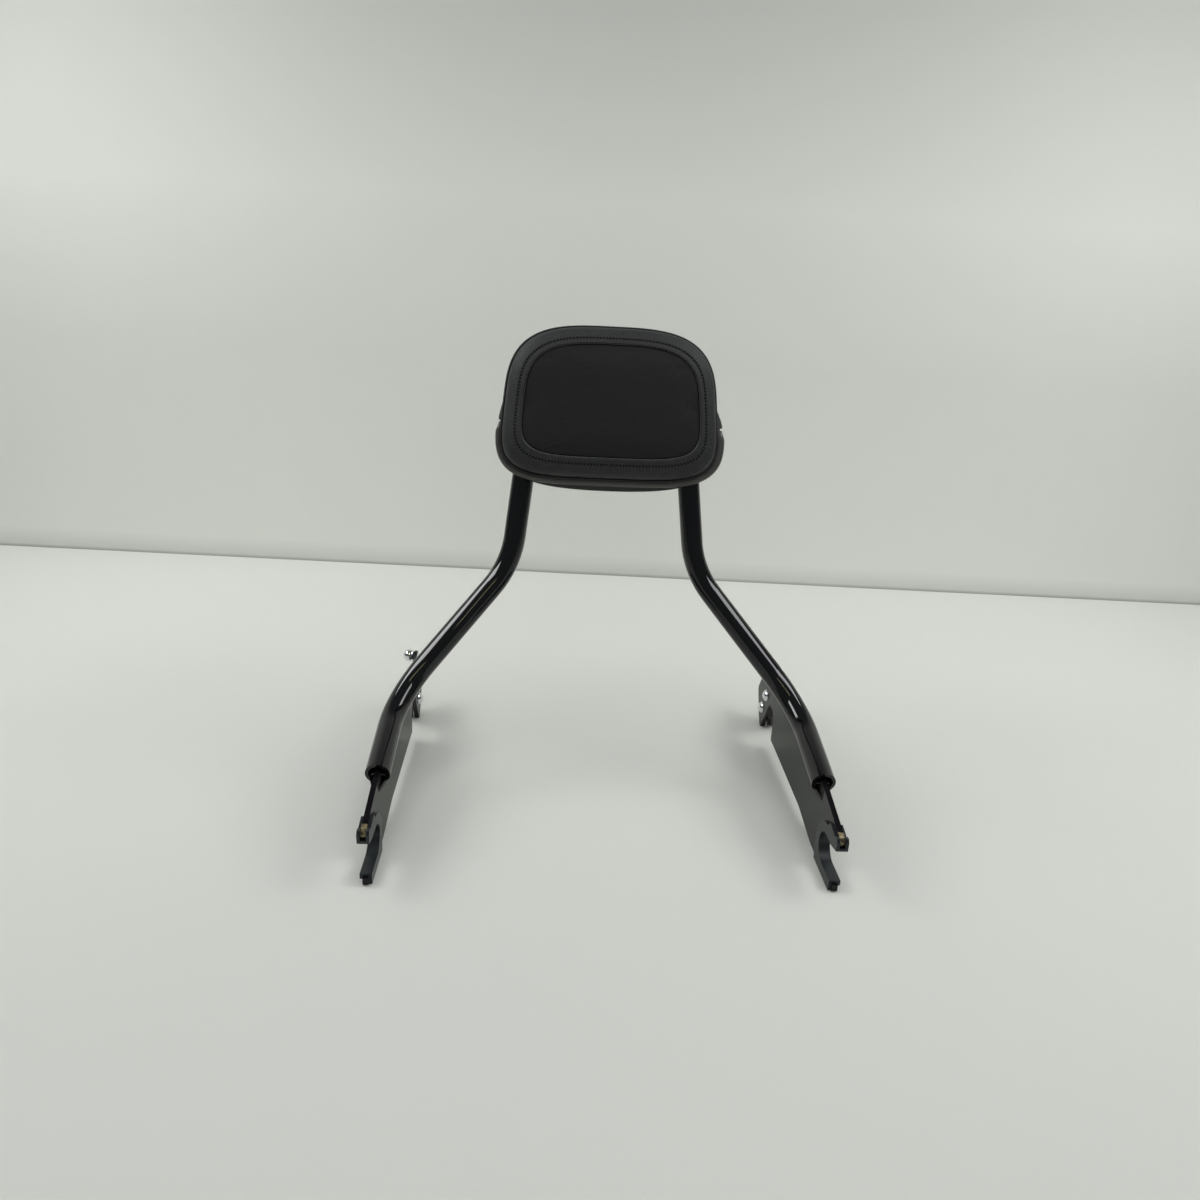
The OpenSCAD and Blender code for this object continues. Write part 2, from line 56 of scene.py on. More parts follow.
# Profile of the border from the welt seam over the shoulder to the inner seam: inset, height, pinned
PROFILE = [
    (3.2, 20.9, 1), (2.5, 21.4, 0), (2.1, 22.4, 0), (2.0, 24.0, 0), (2.2, 26.2, 0), (2.65, 28.6, 0),
    (3.25, 30.8, 0), (4.05, 32.7, 0), (5.1, 34.2, 0), (6.4, 35.4, 0), (7.9, 36.4, 0), (9.4, 37.3, 0),
    (10.8, 38.1, 0), (11.9, 38.55, 0), (STITCH_G, STITCH_W, 1), (13.6, 38.85, 0), (14.7, 39.25, 0),
    (15.7, 39.6, 0), (16.5, 39.9, 0), (17.1, 39.95, 0), (17.6, 39.5, 0), (18.05, 38.5, 1),
]
# First rings of the centre panel inside the inner seam: inset, height, pinned
PANEL = [(18.3, 38.4, 0), (18.7, 38.8, 0), (19.4, 39.2, 0), (21.0, 39.7, 0)]
RINGS = PROFILE + PANEL
ACROSS = [0.0]
for (g0, w0, _), (g1, w1, _) in zip(RINGS, RINGS[1:]):
    ACROSS.append(ACROSS[-1] + math.hypot(g1 - g0, w1 - w0))
T_STITCH = ACROSS[[g for g, _, _ in PROFILE].index(STITCH_G)]
T_EDGE = ACROSS[len(PROFILE) - 1]

# Points round the cover, cells across the grid inside its inner rings, steps of a finely measured outline
NA = 256
GRID = NA // 4
OUTLINE_STEPS = 4000


# Pad frame and outline
def pad_to_row(u, v, w):
    """Pad frame (across, up the legs, forward of their plane) in mm to the row frame in m."""
    y = BEND_Y - w * math.cos(LEAN) + v * math.sin(LEAN) - MID_Y
    z = BEND_Z + w * math.sin(LEAN) + v * math.cos(LEAN)
    return Vector((u / 1000, y / 1000, z / 1000))


def row_to_pad(co):
    """Row frame in m back to the pad frame in mm, as u, v, w arrays."""
    y = co[:, 1] * 1000 + MID_Y - BEND_Y
    z = co[:, 2] * 1000 - BEND_Z
    w = -y * math.cos(LEAN) + z * math.sin(LEAN)
    v = y * math.sin(LEAN) + z * math.cos(LEAN)
    return co[:, 0] * 1000, v, w


def clamp(x):
    return max(0.0, min(1.0, x))


def ease(x):
    x = clamp(x)
    return x * x * (3 - 2 * x)


def ring_uv(t, g):
    """Point of the pad's outline at angle t and inset g."""
    e = 2 / (TOP_POWER if math.sin(t) >= 0 else LOW_POWER)
    dv = (PAD_B - g) * math.copysign(abs(math.sin(t)) ** e, math.sin(t))
    u = (PAD_A - g - TAPER * dv) * math.copysign(abs(math.cos(t)) ** e, math.cos(t))
    return u, PAD_V + dv + PANEL_LIFT * clamp((g - LIFT_FROM) / LIFT_RUN)


def outline(g, steps):
    """Points of the outline at inset g, and the length along it up to each."""
    pts = np.array([ring_uv(2 * math.pi * k / steps, g) for k in range(steps + 1)])
    return pts, np.concatenate([[0], np.cumsum(np.hypot(*np.diff(pts, axis=0).T))])


def even_angles(n):
    """Angles that give n points evenly spaced along the border's shoulder."""
    shoulder_g, steps = 8, 40000
    _, s = outline(shoulder_g, steps)
    want = (np.arange(n) + 0.5) * s[-1] / n
    return np.interp(want, s, np.arange(steps + 1) * 2 * math.pi / steps)


def arc_points(g, n):
    """n points evenly along the outline at inset g, their unit tangents, and the lengths up to each step."""
    dense, s = outline(g, OUTLINE_STEPS)
    want = np.arange(n) * s[-1] / n
    p = np.stack([np.interp(want, s, dense[:, 0]), np.interp(want, s, dense[:, 1])], 1)
    t = np.roll(p, -1, 0) - np.roll(p, 1, 0)
    return p, t / np.linalg.norm(t, axis=1, keepdims=True), s


STITCH_AT, STITCH_ALONG, STITCH_RUN = arc_points(STITCH_G, STITCHES)
PITCH = STITCH_RUN[-1] / STITCHES
ANGLES = even_angles(NA)


def stitch_count(angle):
    """How many stitches lie between angle 0 and this angle."""
    turn = np.arange(OUTLINE_STEPS + 1) * 2 * math.pi / OUTLINE_STEPS
    return float(np.interp(angle, turn, STITCH_RUN)) / PITCH


# Shader helpers
def new_mat(name):
    m = bpy.data.materials.new(name)
    m.use_nodes = True
    nt = m.node_tree
    return m, nt, nt.nodes["Principled BSDF"]


def node(nt, kind, **sets):
    """A new node, where each setting is an input's value or else a property."""
    n = nt.nodes.new(kind)
    for k, v in sets.items():
        if k in n.inputs:
            n.inputs[k].default_value = v
        else:
            setattr(n, k, v)
    return n


def coords(nt, scale=(1, 1, 1), rot=(0, 0, 0)):
    c = nt.nodes.new("ShaderNodeTexCoord")
    m = node(nt, "ShaderNodeMapping")
    m.inputs["Scale"].default_value = scale
    m.inputs["Rotation"].default_value = rot
    nt.links.new(c.outputs["Object"], m.inputs["Vector"])
    return m.outputs["Vector"]


def separate(nt, vector):
    xyz = nt.nodes.new("ShaderNodeSeparateXYZ")
    nt.links.new(vector, xyz.inputs[0])
    return xyz.outputs["X"], xyz.outputs["Y"], xyz.outputs["Z"]


def noise(nt, vec, scale, detail=3.0, rough=0.5):
    n = node(nt, "ShaderNodeTexNoise", Scale=scale, Detail=detail, Roughness=rough)
    nt.links.new(vec, n.inputs["Vector"])
    return n.outputs["Fac"]


def ramp(nt, fac, lo, hi, a, b):
    """Map fac from lo..hi to a..b."""
    n = nt.nodes.new("ShaderNodeMapRange")
    n.inputs["From Min"].default_value = lo
    n.inputs["From Max"].default_value = hi
    n.inputs["To Min"].default_value = a
    n.inputs["To Max"].default_value = b
    nt.links.new(fac, n.inputs["Value"])
    return n.outputs["Result"]


def spread(nt, fac, a, b):
    """Map the range where most of a noise lies to a..b."""
    return ramp(nt, fac, 0.3, 0.7, a, b)


def math_node(nt, op, x, y=None):
    n = nt.nodes.new("ShaderNodeMath")
    n.operation = op
    for i, v in enumerate((x, y)):
        if v is None:
            continue
        if isinstance(v, (int, float)):
            n.inputs[i].default_value = v
        else:
            nt.links.new(v, n.inputs[i])
    return n.outputs[0]


def scaled(colour, k):
    return tuple(c * k for c in colour)


def colour_mix(nt, fac, a, b):
    n = nt.nodes.new("ShaderNodeMix")
    n.data_type = "RGBA"
    for s, v in ((6, a), (7, b)):
        if isinstance(v, tuple):
            n.inputs[s].default_value = (*v, 1)
        else:
            nt.links.new(v, n.inputs[s])
    nt.links.new(fac, n.inputs[0])
    return n.outputs[2]


def bump(nt, bsdf, height, distance, strength=1.0, chain=None):
    b = node(nt, "ShaderNodeBump", Strength=strength, Distance=distance)
    nt.links.new(height, b.inputs["Height"])
    if chain is not None:
        nt.links.new(chain, b.inputs["Normal"])
    nt.links.new(b.outputs["Normal"], bsdf.inputs["Normal"])
    return b.outputs["Normal"]


def face_tone(p):
    """What the base colour is linked from so far."""
    return p.inputs["Base Color"].links[0].from_socket


# Paint and metal
def paint(name, tint, rough, spec, coat, coat_rough, ior, peel):
    """Baked black paint: a dark base under a clear film, with a faint orange peel."""
    m, nt, p = new_mat(name)
    v = coords(nt)
    nt.links.new(colour_mix(nt, noise(nt, v, 35, 4), tint, scaled(tint, 1.6)), p.inputs["Base Color"])
    nt.links.new(spread(nt, noise(nt, v, 60, 4, 0.6), rough * 0.9, rough * 1.1), p.inputs["Roughness"])
    p.inputs["Specular IOR Level"].default_value = spec
    p.inputs["Coat Weight"].default_value = coat
    p.inputs["Coat Roughness"].default_value = coat_rough
    p.inputs["Coat IOR"].default_value = ior
    bump(nt, p, noise(nt, v, 260, 2), 0.00004 * peel)
    return m, nt, p


def metal(name, colour, rough, scratch=0):
    """Bare or plated metal, with scratches of this depth in metres if there are any."""
    m, nt, p = new_mat(name)
    v = coords(nt)
    nt.links.new(colour_mix(nt, noise(nt, v, 90, 3), colour, scaled(colour, 0.88)), p.inputs["Base Color"])
    p.inputs["Metallic"].default_value = 1.0
    nt.links.new(spread(nt, noise(nt, v, 150, 3), rough * 0.8, rough * 1.25), p.inputs["Roughness"])
    if scratch:
        bump(nt, p, noise(nt, coords(nt, (1, 1, 6)), 600, 2), scratch)
    return m


def plate_paint():
    """Satin black side plates: cut edges painted darker as shade, and bare worn metal on the end of each
    hook's nose.
    """
    m, nt, p = paint("black_plate", (0.028, 0.029, 0.0265), rough=0.5, spec=0.0, coat=0.5, coat_rough=0.15,
                     ior=1.5, peel=0.5)
    nose_y, nose_z = -0.139, 0.034
    cut_edge_shade = (0.0045, 0.0035, 0.0050)
    bright, dull = (0.30, 0.25, 0.14), (0.10, 0.08, 0.06)
    _, y, z = separate(nt, coords(nt))
    ragged = math_node(nt, "ADD", y, ramp(nt, noise(nt, coords(nt), 500, 3), 0, 1, -0.0006, 0.0006))
    front = ramp(nt, ragged, nose_y + 0.0004, nose_y - 0.0004, 0, 1)
    high = ramp(nt, z, nose_z - 0.001, nose_z + 0.001, 0, 1)
    geo = nt.nodes.new("ShaderNodeNewGeometry")
    side_x, _, _ = separate(nt, geo.outputs["True Normal"])
    edge = ramp(nt, math_node(nt, "ABSOLUTE", side_x), 0.3, 0.6, 1, 0)
    bare = math_node(nt, "MULTIPLY", math_node(nt, "MULTIPLY", front, high), edge)
    # the cut edges are painted darker, as shade
    painted = colour_mix(nt, edge, face_tone(p), cut_edge_shade)
    worn = colour_mix(nt, ramp(nt, noise(nt, coords(nt), 420, 3), 0.4, 0.6, 0, 1), bright, dull)
    nt.links.new(colour_mix(nt, bare, painted, worn), p.inputs["Base Color"])
    nt.links.new(bare, p.inputs["Metallic"])
    return m


# Vinyl and cloth
def seam_uv(nt):
    """The cover's map: X counts stitches round the pad, Y is mm across it from the outer seam."""
    n = node(nt, "ShaderNodeUVMap", uv_map="seam")
    x, y, _ = separate(nt, n.outputs[0])
    return x, y


def band(nt, centre, inner, outer, level):
    """The level within inner mm of a line across the cover, and nothing beyond outer mm."""
    _, y = seam_uv(nt)
    return ramp(nt, math_node(nt, "ABSOLUTE", math_node(nt, "SUBTRACT", y, centre)), inner, outer, level, 0)


def inner_seam_shade(nt):
    """Painted shade, dark in the inner seam's groove."""
    return band(nt, T_EDGE + 0.4, 0.3, 0.55, 1)


def shell_shade(nt):
    """The back cover behind its rolled edge is painted darker, as shade."""
    roll_w = 17.0
    _, y = seam_uv(nt)
    return ramp(nt, y, roll_w + 0.4, roll_w - 0.4, 0, 0.75)


def stitch_and_seam_shade(nt):
    """Needle holes of the stitch row and the two seams, as a 0..1 mask for how deep they are and for their
    painted shade: dark in the holes, faint along the stitch row, dark in both seams.
    """
    x, y = seam_uv(nt)
    along = math_node(nt, "MULTIPLY", math_node(nt, "SUBTRACT", math_node(nt, "FRACT", x), 0.5), PITCH)
    across = math_node(nt, "SUBTRACT", y, T_STITCH)
    squares = math_node(nt, "ADD", math_node(nt, "MULTIPLY", along, along),
                        math_node(nt, "MULTIPLY", across, across))
    hole = ramp(nt, math_node(nt, "SQRT", squares), 0.6, 0.95, 1, 0)
    # painted shade, faint along the stitch row
    row = band(nt, T_STITCH, 0.3, 0.8, 0.08)
    # painted shade in the outer seam's groove
    outer_seam = ramp(nt, y, 0.7, 1.4, 1, 0)
    return math_node(nt, "MAXIMUM", math_node(nt, "MAXIMUM", hole, row),
                     math_node(nt, "MAXIMUM", outer_seam, inner_seam_shade(nt)))


def vinyl(name, base, rough, grain, depth, spec=0.5, shade_marks=None, folded=False):
    """Grained vinyl: rounded pebbles of about a millimetre, with finer creases between.
    The optional mask function gives a 0..1 value for how deep and rough the stitch holes and seams are and
    where they are painted dark as shade, and a folded cover is painted pale along its inner seam as a
    highlight, and is shinier there."""
    m, nt, p = new_mat(name)
    v = coords(nt)
    cells = node(nt, "ShaderNodeTexVoronoi", Scale=grain, feature="SMOOTH_F1")
    cells.inputs["Smoothness"].default_value = 0.7
    nt.links.new(v, cells.inputs["Vector"])
    broad = noise(nt, v, 30, 4)
    tone = colour_mix(nt, spread(nt, broad, 0, 1), base, scaled(base, 1.3))
    pebbles = ramp(nt, cells.outputs["Distance"], 0.25, 0.65, 0, 0.55)
    tone = colour_mix(nt, pebbles, tone, scaled(base, 0.45))
    sheen = spread(nt, broad, rough * 0.92, rough * 1.08)
    shade_mark = shade_marks(nt) if shade_marks else None
    if folded:
        # painted highlight: a pale band along the inner seam, where the fold catches the light
        tone = colour_mix(nt, band(nt, T_EDGE - 0.55, 0.3, 0.6, 0.9), tone, scaled(base, 3.4))
    if shade_mark is not None:
        # where the mask is, the colour is painted dark, as shade
        tone = colour_mix(nt, shade_mark, tone, scaled(base, 0.12))
        sheen = math_node(nt, "ADD", sheen, math_node(nt, "MULTIPLY", shade_mark, 0.45))
    if folded:
        sheen = math_node(nt, "SUBTRACT", sheen, band(nt, T_EDGE - 0.8, 0.5, 1.2, 0.24))
    nt.links.new(tone, p.inputs["Base Color"])
    nt.links.new(sheen, p.inputs["Roughness"])
    p.inputs["Specular IOR Level"].default_value = spec
    coarse = bump(nt, p, cells.outputs["Distance"], -depth, 0.8)
    fine = bump(nt, p, noise(nt, v, grain * 2.2, 3, 0.6), depth * 0.35, 0.6, coarse)
    if shade_mark is not None:
        bump(nt, p, shade_mark, -0.0003, 0.8, fine)
    return m


def ribbed(name, base, rough):
    """Matte panel cloth with a fine line running across the bike."""
    m, nt, p = new_mat(name)
    v = coords(nt, rot=(LEAN, 0, 0))
    lines = noise(nt, coords(nt, (0.10, 1, 1), (LEAN, 0, 0)), 760, 4, 0.62)
    tone = colour_mix(nt, ramp(nt, lines, 0.35, 0.65, 0, 1), scaled(base, 0.90), scaled(base, 1.10))
    # the panel is painted darker in the inner seam, as shade
    nt.links.new(colour_mix(nt, inner_seam_shade(nt), tone, scaled(base, 0.15)), p.inputs["Base Color"])
    nt.links.new(spread(nt, noise(nt, v, 22), rough * 0.95, rough * 1.04), p.inputs["Roughness"])
    p.inputs["Specular IOR Level"].default_value = 0.22
    ribs = bump(nt, p, lines, 0.00014, 0.7)
    bump(nt, p, noise(nt, v, 1900, 2), 0.00005, 0.6, ribs)
    return m


# Materials of the part
tube_m, _, _ = paint("gloss_black_tube", (0.0035, 0.0036, 0.0040), rough=0.25, spec=0.0, coat=1.0,
                     coat_rough=0.02, ior=1.46, peel=0.25)
block_m, _, _ = paint("gloss_black_small", (0.006, 0.006, 0.0065), rough=0.3, spec=0.2, coat=0.7,
                      coat_rough=0.08, ior=1.45, peel=0.6)
plate_m = plate_paint()
chrome_m = metal("chrome_polished", (0.80, 0.81, 0.83), rough=0.05)
steel_m = metal("zinc_steel", (0.50, 0.51, 0.53), rough=0.34, scratch=0.00003)
liner_m = vinyl("moulded_liner", (0.0115, 0.0142, 0.0168), rough=0.34, grain=1500.0, depth=0.00003, spec=0.36)
vinyl_m = vinyl("grained_vinyl", (0.0235, 0.0240, 0.0250), rough=0.56, grain=900.0, depth=0.00018, spec=0.22,
                shade_marks=stitch_and_seam_shade, folded=True)
# the piping is coloured darker than the border, partly its own tone and partly painted shade of the outer
# seam's groove
plain_m = vinyl("piping_vinyl", (0.0065, 0.0060, 0.0085), rough=0.6, grain=900.0, depth=0.00010)
# the back cover is coloured paler than the border, partly its own tone and partly painted light on its rolled
# edge
cover_m = vinyl("cover_vinyl", (0.052, 0.053, 0.048), rough=0.30, grain=1200.0, depth=0.00006,
                shade_marks=shell_shade)
panel_m = ribbed("ribbed_panel", (0.0118, 0.0118, 0.0122), rough=0.78)
thread_m = vinyl("black_thread", (0.005, 0.005, 0.006), rough=0.5, grain=2500.0, depth=0.00005)
board_m = vinyl("board_plastic", (0.02, 0.02, 0.02), rough=0.6, grain=700.0, depth=0.00005)

WEAR = {
    "upright_tube": tube_m, "side_plate": plate_m, "hook_liner": liner_m, "latch_block": block_m,
    "latch_lever": block_m, "ball_knob": chrome_m, "pivot_pin": chrome_m, "block_screw": chrome_m,
    "friction_washer": steel_m, "pivot_nut": steel_m, "pad_strap": block_m, "pad_screws": steel_m,
    "pad_washers": steel_m, "pad_board": board_m, "pad_foam": board_m, "pad_border_cover": plain_m,
    "pad_centre_panel": panel_m, "pad_welt": plain_m, "pad_back_cover": cover_m,
}


def smooth(ob, degrees):
    """Smooth shading, with edges sharper than this angle kept."""
    with bpy.context.temp_override(object=ob, active_object=ob, selected_objects=[ob],
                                   selected_editable_objects=[ob]):
        bpy.ops.object.shade_smooth_by_angle(angle=math.radians(degrees))


# Sharpest edges, in degrees, that are shaded smooth on the CAD nodes and on the back cover
NODE_SMOOTH, SHELL_SMOOTH = 28, 50
for name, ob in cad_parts.items():
    key = max((k for k in WEAR if name.startswith(k)), key=len)
    for s in ob.material_slots:
        s.material = WEAR[key]
    smooth(ob, NODE_SMOOTH)


# Mesh helpers
def link_object(name, me):
    ob = bpy.data.objects.new(name, me)
    bpy.context.scene.collection.objects.link(ob)
    return ob


def mesh_object(name, verts, faces, mat):
    me = bpy.data.meshes.new(name)
    me.from_pydata([tuple(v) for v in verts], [], faces)
    me.update()
    ob = link_object(name, me)
    me.polygons.foreach_set("use_smooth", [True] * len(me.polygons))
    me.materials.append(mat)
    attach(ob, "frame")
    return ob


def ring_faces(rows, n, base=0):
    """Quads between neighbouring closed rings of n points each."""
    faces = []
    for r in range(rows - 1):
        for i in range(n):
            j = (i + 1) % n
            quad = (r * n + i, r * n + j, (r + 1) * n + j, (r + 1) * n + i)
            faces.append(tuple(base + k for k in quad))
    return faces


def end_caps(rows, n, base=0):
    """The faces that close the first and the last of such rings."""
    return [tuple(base + i for i in range(n - 1, -1, -1)),
            tuple(base + (rows - 1) * n + i for i in range(n))]


# Pad front: border and panel sewn and padded as one cover
def perimeter(r):
    """Cells of the square ring r of the grid, counter-clockwise from its lower right corner."""
    return ([(r, k) for k in range(-r, r)] + [(-k, r) for k in range(-r, r)]
            + [(-r, -k) for k in range(-r, r)] + [(k, -r) for k in range(-r, r)])


def front_cover():
    """Rings for the border and the panel's edge, and a square grid inside them. Gives the points in the
    pad frame, whether each is pinned, the faces, and for each face 0 for border or 1 for panel."""
    verts, pins = [], []
    for g, w, pinned in RINGS:
        for a in ANGLES:
            verts.append((*ring_uv(a, g), w))
            pins.append(pinned)
    faces = ring_faces(len(RINGS), NA)
    kinds = [0 if r < len(PROFILE) - 1 else 1 for r in range(len(RINGS) - 1) for _ in range(NA)]
    last = (len(RINGS) - 1) * NA
    edge = verts[last:]
    half = GRID // 2
    # the outline starts near angle 0, which is the middle of the right side
    cells = perimeter(half)
    start = cells.index((half, 0))
    index = {cells[(start + k) % NA]: last + k for k in range(NA)}
    edge_w = PANEL[-1][1]
    for r in range(half - 1, -1, -1):
        ring = perimeter(r) if r else [(0, 0)]
        share = r / half
        for k, cell in enumerate(ring):
            eu, ev = 0, PAD_V
            if r:
                f = (k - ring.index((r, 0))) / len(ring) * NA
                i = math.floor(f)
                t = f - i
                a, b = edge[i % NA], edge[(i + 1) % NA]
                eu, ev = a[0] + (b[0] - a[0]) * t, a[1] + (b[1] - a[1]) * t
            index[cell] = len(verts)
            crown = edge_w + (CREST_W - edge_w) * (1 - share ** 2.6)
            verts.append((eu * share, PAD_V + (ev - PAD_V) * share, crown))
            pins.append(0)
    for x in range(-half, half):
        for y in range(-half, half):
            faces.append((index[(x, y)], index[(x + 1, y)], index[(x + 1, y + 1)], index[(x, y + 1)]))
            kinds.append(1)
    return verts, pins, faces, kinds


def add_seam_map(ob):
    """Stitch count and distance across the cover, for the materials."""
    count = [stitch_count(a) for a in ANGLES]
    on_rings = len(ACROSS) * NA
    # inside the last ring nothing is marked, so one distance will do
    inside = ACROSS[-1] + 4.0
    uv = []
    for poly in ob.data.polygons:
        idx = list(poly.vertices)
        cols = [k % NA for k in idx]
        wrap = all(k < on_rings for k in idx) and max(cols) - min(cols) > NA // 2
        for k, col in zip(idx, cols):
            if k < on_rings:
                uv += [count[col] + (STITCHES if wrap and col == 0 else 0), ACROSS[k // NA]]
            else:
                uv += [0.0, inside]
    ob.data.uv_layers.new(name="seam").data.foreach_set("uv", uv)


# Most that the cloth may move, in m: by inset on the border, where the shoulder keeps the outline so that
# the piping shows all round, and on the panel
SWELL_G = [0, 4, 8, 12, 13, 18, 19]
SWELL = [0.0001, 0.0003, 0.0008, 0.0006, 0.0002, 0.0002, 0.0009]
PANEL_SWELL = 0.0013


def swell_limits(pins):
    limit = np.full(len(pins), PANEL_SWELL)
    limit[:len(PROFILE) * NA] = np.repeat(np.interp([g for g, _, _ in PROFILE], SWELL_G, SWELL), NA)
    limit[np.array(pins) > 0] = 0
    return limit


def simulate(ob, pins, limit, pressure=3.0, frames=18):
    """Cloth with a little pressure inside, where no point moves more than its limit."""
    rest = np.array([v.co for v in ob.data.vertices], float)
    group = ob.vertex_groups.new(name="pin")
    group.add([i for i, p in enumerate(pins) if p], 1.0, "REPLACE")
    cloth = ob.modifiers.new("cloth", "CLOTH")
    s = cloth.settings
    s.vertex_group_mass = "pin"
    s.use_pressure = True
    s.uniform_pressure_force = pressure
    s.effector_weights.gravity = 0
    s.quality = 5
    s.tension_stiffness = s.compression_stiffness = 25
    s.bending_stiffness = 2.0
    cloth.collision_settings.use_collision = False
    cloth.point_cache.frame_start, cloth.point_cache.frame_end = 1, frames
    scene = bpy.context.scene
    for f in range(1, frames + 1):
        scene.frame_set(f)
    dg = bpy.context.evaluated_depsgraph_get()
    got = np.array([v.co for v in ob.evaluated_get(dg).data.vertices], float)
    ob.modifiers.remove(cloth)
    scene.frame_set(1)
    move = got - rest
    length = np.linalg.norm(move, axis=1, keepdims=True)
    move *= np.minimum(1, limit[:, None] / np.maximum(length, 1e-12))
    ob.data.vertices.foreach_set("co", (rest + move).astype(np.float32).ravel())
    ob.data.update()


def press_holes(me):
    """The needle holes pull the vinyl in, between each pair of stitches."""
    hole_r, hole_depth = 0.9, 0.00035
    front_w, front_reach = 40, 6
    out = pad_to_row(0, 0, 1) - pad_to_row(0, 0, 0)
    out.normalize()
    co = np.empty(len(me.vertices) * 3, np.float32)
    me.vertices.foreach_get("co", co)
    co = co.reshape(-1, 3).astype(float)
    u, v, w = row_to_pad(co)
    idx = np.where(np.abs(w - front_w) < front_reach)[0]
    holes = STITCH_AT + STITCH_ALONG * (PITCH / 2)
    d = np.sqrt((u[idx, None] - holes[None, :, 0]) ** 2 + (v[idx, None] - holes[None, :, 1]) ** 2).min(1)
    co[idx] -= np.array(out) * (hole_depth * np.exp(-(d / hole_r) ** 2))[:, None]
    me.vertices.foreach_set("co", co.astype(np.float32).ravel())
    me.update()


def evaluated_mesh(ob):
    dg = bpy.context.evaluated_depsgraph_get()
    return bpy.data.meshes.new_from_object(ob.evaluated_get(dg))


def split_piece(name, cover, which, mat, thick=0.0011):
    """The part of the cover on one side of the inner seam, as a skin with thickness."""
    me = cover.copy()
    ob = link_object(name, me)
    bm = bmesh.new()
    bm.from_mesh(me)
    kept = set(which)
    bmesh.ops.delete(bm, geom=[f for f in bm.faces if f.index not in kept], context="FACES")
    bm.normal_update()
    bm.to_mesh(me)
    bm.free()
    me.materials.clear()
    me.materials.append(mat)
    me.polygons.foreach_set("use_smooth", [True] * len(me.polygons))
    solid = ob.modifiers.new("skin", "SOLIDIFY")
    solid.thickness = thick
    solid.offset = -1
    made = evaluated_mesh(ob)
    ob.modifiers.clear()
    ob.data = made
    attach(ob, "frame")
    return ob


def pad_front():
    verts, pins, faces, kinds = front_cover()
    cloth_ob = mesh_object("pad_front_cloth", [pad_to_row(*v) for v in verts], faces, vinyl_m)
    add_seam_map(cloth_ob)
    simulate(cloth_ob, pins, swell_limits(pins))
    sub = cloth_ob.modifiers.new("sub", "SUBSURF")
    sub.levels = sub.render_levels = 1
    cover = evaluated_mesh(cloth_ob)
    bpy.data.objects.remove(cloth_ob)
    press_holes(cover)
    # one subdivision turns each face into four, in order
    kind = np.repeat(np.array(kinds), 4)
    border = split_piece("pad_border_vinyl", cover, np.where(kind == 0)[0].tolist(), vinyl_m)
    panel = split_piece("pad_panel_cloth", cover, np.where(kind == 1)[0].tolist(), panel_m)
    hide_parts("pad_border_cover")
    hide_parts("pad_centre_panel", "pad_foam")


pad_front()


# Stitches: short rounded threads in the channel
def stitches():
    length, radius, lift, sides = PITCH * 0.32, 0.33, 0.08, 6
    # rings of a thread: share of its half length, share of its radius, height
    rings = [(-1.0, 0.30, -0.45), (-0.75, 0.85, -0.12), (-0.25, 1.0, 0.08),
             (0.25, 1.0, 0.08), (0.75, 0.85, -0.12), (1.0, 0.30, -0.45)]
    verts, faces = [], []
    for (pu, pv), (tu, tv) in zip(STITCH_AT, STITCH_ALONG):
        base = len(verts)
        for along, girth, height in rings:
            for q in range(sides):
                a = q * 2 * math.pi / sides
                off = math.cos(a) * radius * girth
                up = math.sin(a) * radius * girth + height
                u = pu + tu * along * length - tv * off
                v = pv + tv * along * length + tu * off
                verts.append(pad_to_row(u, v, STITCH_W + lift + up))
        faces += ring_faces(len(rings), sides, base) + end_caps(len(rings), sides, base)
    ob = mesh_object("pad_stitch_row", verts, faces, thread_m)


stitches()


# Welt: round piping in the outer seam
def piping():
    around, sides = 420, 16
    radius, inset, height = 1.1, 1.1, 21.1
    verts, faces = [], []
    for a in even_angles(around):
        for q in range(sides):
            t = q * 2 * math.pi / sides
            u, v = ring_uv(a, inset - radius * math.cos(t))
            verts.append(pad_to_row(u, v, height - radius * math.sin(t)))
    for i in range(around):
        j = (i + 1) % around
        for q in range(sides):
            r = (q + 1) % sides
            faces.append((i * sides + q, j * sides + q, j * sides + r, i * sides + r))
    welt = mesh_object("pad_welt_piping", verts, faces, plain_m)
    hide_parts("pad_welt")


piping()


# Back cover: flush with the border above the side notches, a rolled edge below them that
# stands proud, and at the bottom a deeper part behind the roll
def back_reach(u, v, nv):
    """How far the roll and the deeper part stand out from the outline, and how much of the roll there
    is, where the outline's outward normal has nv up the pad."""
    above, below = v - NOTCH_V, NOTCH_V - v
    downward = max(0.0, -nv)
    notch_half, notch_floor, notch_flare = 1.0, 0.2, 1.7
    # the right side stands out more than the left one
    right_more, right_by = 2.4, 60.0
    right = right_more * ease(u / right_by) * (1 - downward ** 2)
    if above > notch_half:
        # above the notch the cover fades into the outline and then tucks in
        start, fade, tuck, tuck_from, tuck_run = 2.1, 20.0, 0.9, 12.0, 9.0
        fading = 1 - ease((above - notch_half) / fade)
        roll = (start + right) * fading - tuck * ease((above - tuck_from) / tuck_run)
        return roll, roll - 0.4, 0.0
    if above > -notch_half:
        return notch_floor + right * 0.8 + notch_flare * abs(above) ** 1.5, notch_floor, 0.0
    start, growth, growth_run, bottom_more = 1.7, 2.0, 9.0, 0.9
    roll = right + start + growth * ease((below - notch_half) / growth_run) + bottom_more * downward ** 3
    # the deeper part is at the bottom only, and shallower towards the sides
    deep_u, deep_by, roll_run = 70.0, 4.8, 6.0
    deep = max(0.0, 1 - (u / deep_u) ** 2) ** 0.8 * ease((-nv - 0.5) / 0.35)
    return roll, roll - 0.5 + deep_by * deep, ease((below - notch_half) / roll_run)


